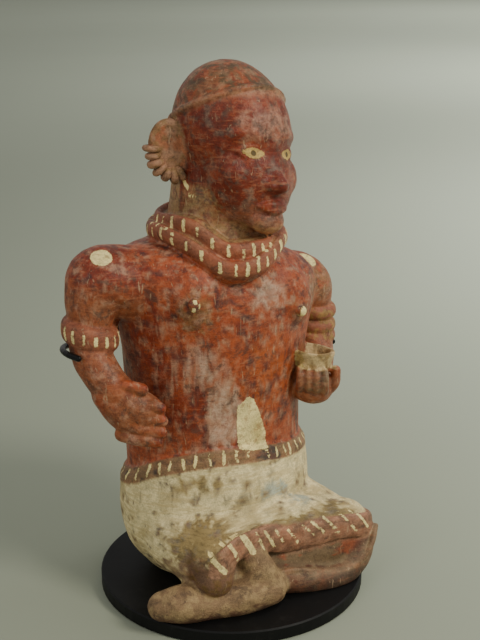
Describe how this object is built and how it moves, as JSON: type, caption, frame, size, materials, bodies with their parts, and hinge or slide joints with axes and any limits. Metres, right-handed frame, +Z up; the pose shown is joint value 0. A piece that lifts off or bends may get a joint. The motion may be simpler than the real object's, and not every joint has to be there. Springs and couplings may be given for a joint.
{
  "type": "pottery seated figure",
  "caption": "Hollow-fired pottery figure of a seated woman holding a small bowl, steadied by a bent rod on a round black stand.",
  "frame": {"origin": "centre of the round stand's underside", "axes": "+Z up, -Y the way the figure's chest faces, +X to the figure's left"},
  "size_m": [0.2701, 0.23, 0.4484],
  "materials": {
    "pottery": "burnished red slip with cream paint, worn",
    "stand": "matte black paint",
    "rod": "satin black paint"
  },
  "bodies": {
    "root": {"figure": "pottery", "stand_disc": "stand", "support_rod": "rod"}
  },
  "joints": []
}
